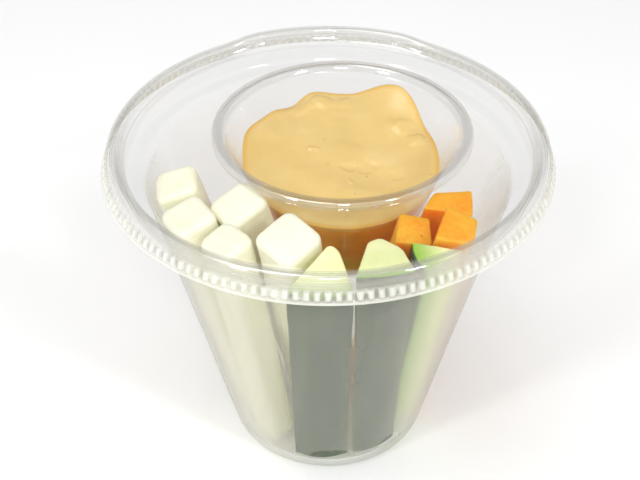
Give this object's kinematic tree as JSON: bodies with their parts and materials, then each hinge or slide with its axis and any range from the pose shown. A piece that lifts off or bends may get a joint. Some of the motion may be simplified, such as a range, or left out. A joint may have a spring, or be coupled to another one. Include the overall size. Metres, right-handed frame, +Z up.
{
  "type": "vegetable sticks with dip",
  "caption": "Clear lidded cup of raw vegetable sticks standing on end, with a small open cup of dip hung inside under the lid.",
  "frame": {"origin": "centre of the lid's outline, at the table", "axes": "+Z up along the cup's axis; the sticks' shown side is at -Y, the dip cup towards +Y, +X to the right seen from the front"},
  "size_m": [0.117, 0.117, 0.0974],
  "materials": {
    "cup_plastic": "clear, clouded inside by condensation",
    "lid_plastic": "clear, glossy",
    "dip_cup_plastic": "clear, glossy",
    "dip": "moist, smooth",
    "daikon": "moist, white",
    "carrot": "moist, orange",
    "cucumber": "moist pale green flesh with a dark green skin"
  },
  "bodies": {
    "root": {"cup": "cup_plastic", "lid": "lid_plastic", "dip_cup": "dip_cup_plastic", "dip": "dip", "daikon_1": "daikon", "daikon_2": "daikon", "daikon_3": "daikon", "daikon_4": "daikon", "daikon_5": "daikon", "carrot_1": "carrot", "carrot_2": "carrot", "carrot_3": "carrot", "cucumber_1": "cucumber", "cucumber_2": "cucumber", "cucumber_3": "cucumber"}
  },
  "joints": []
}
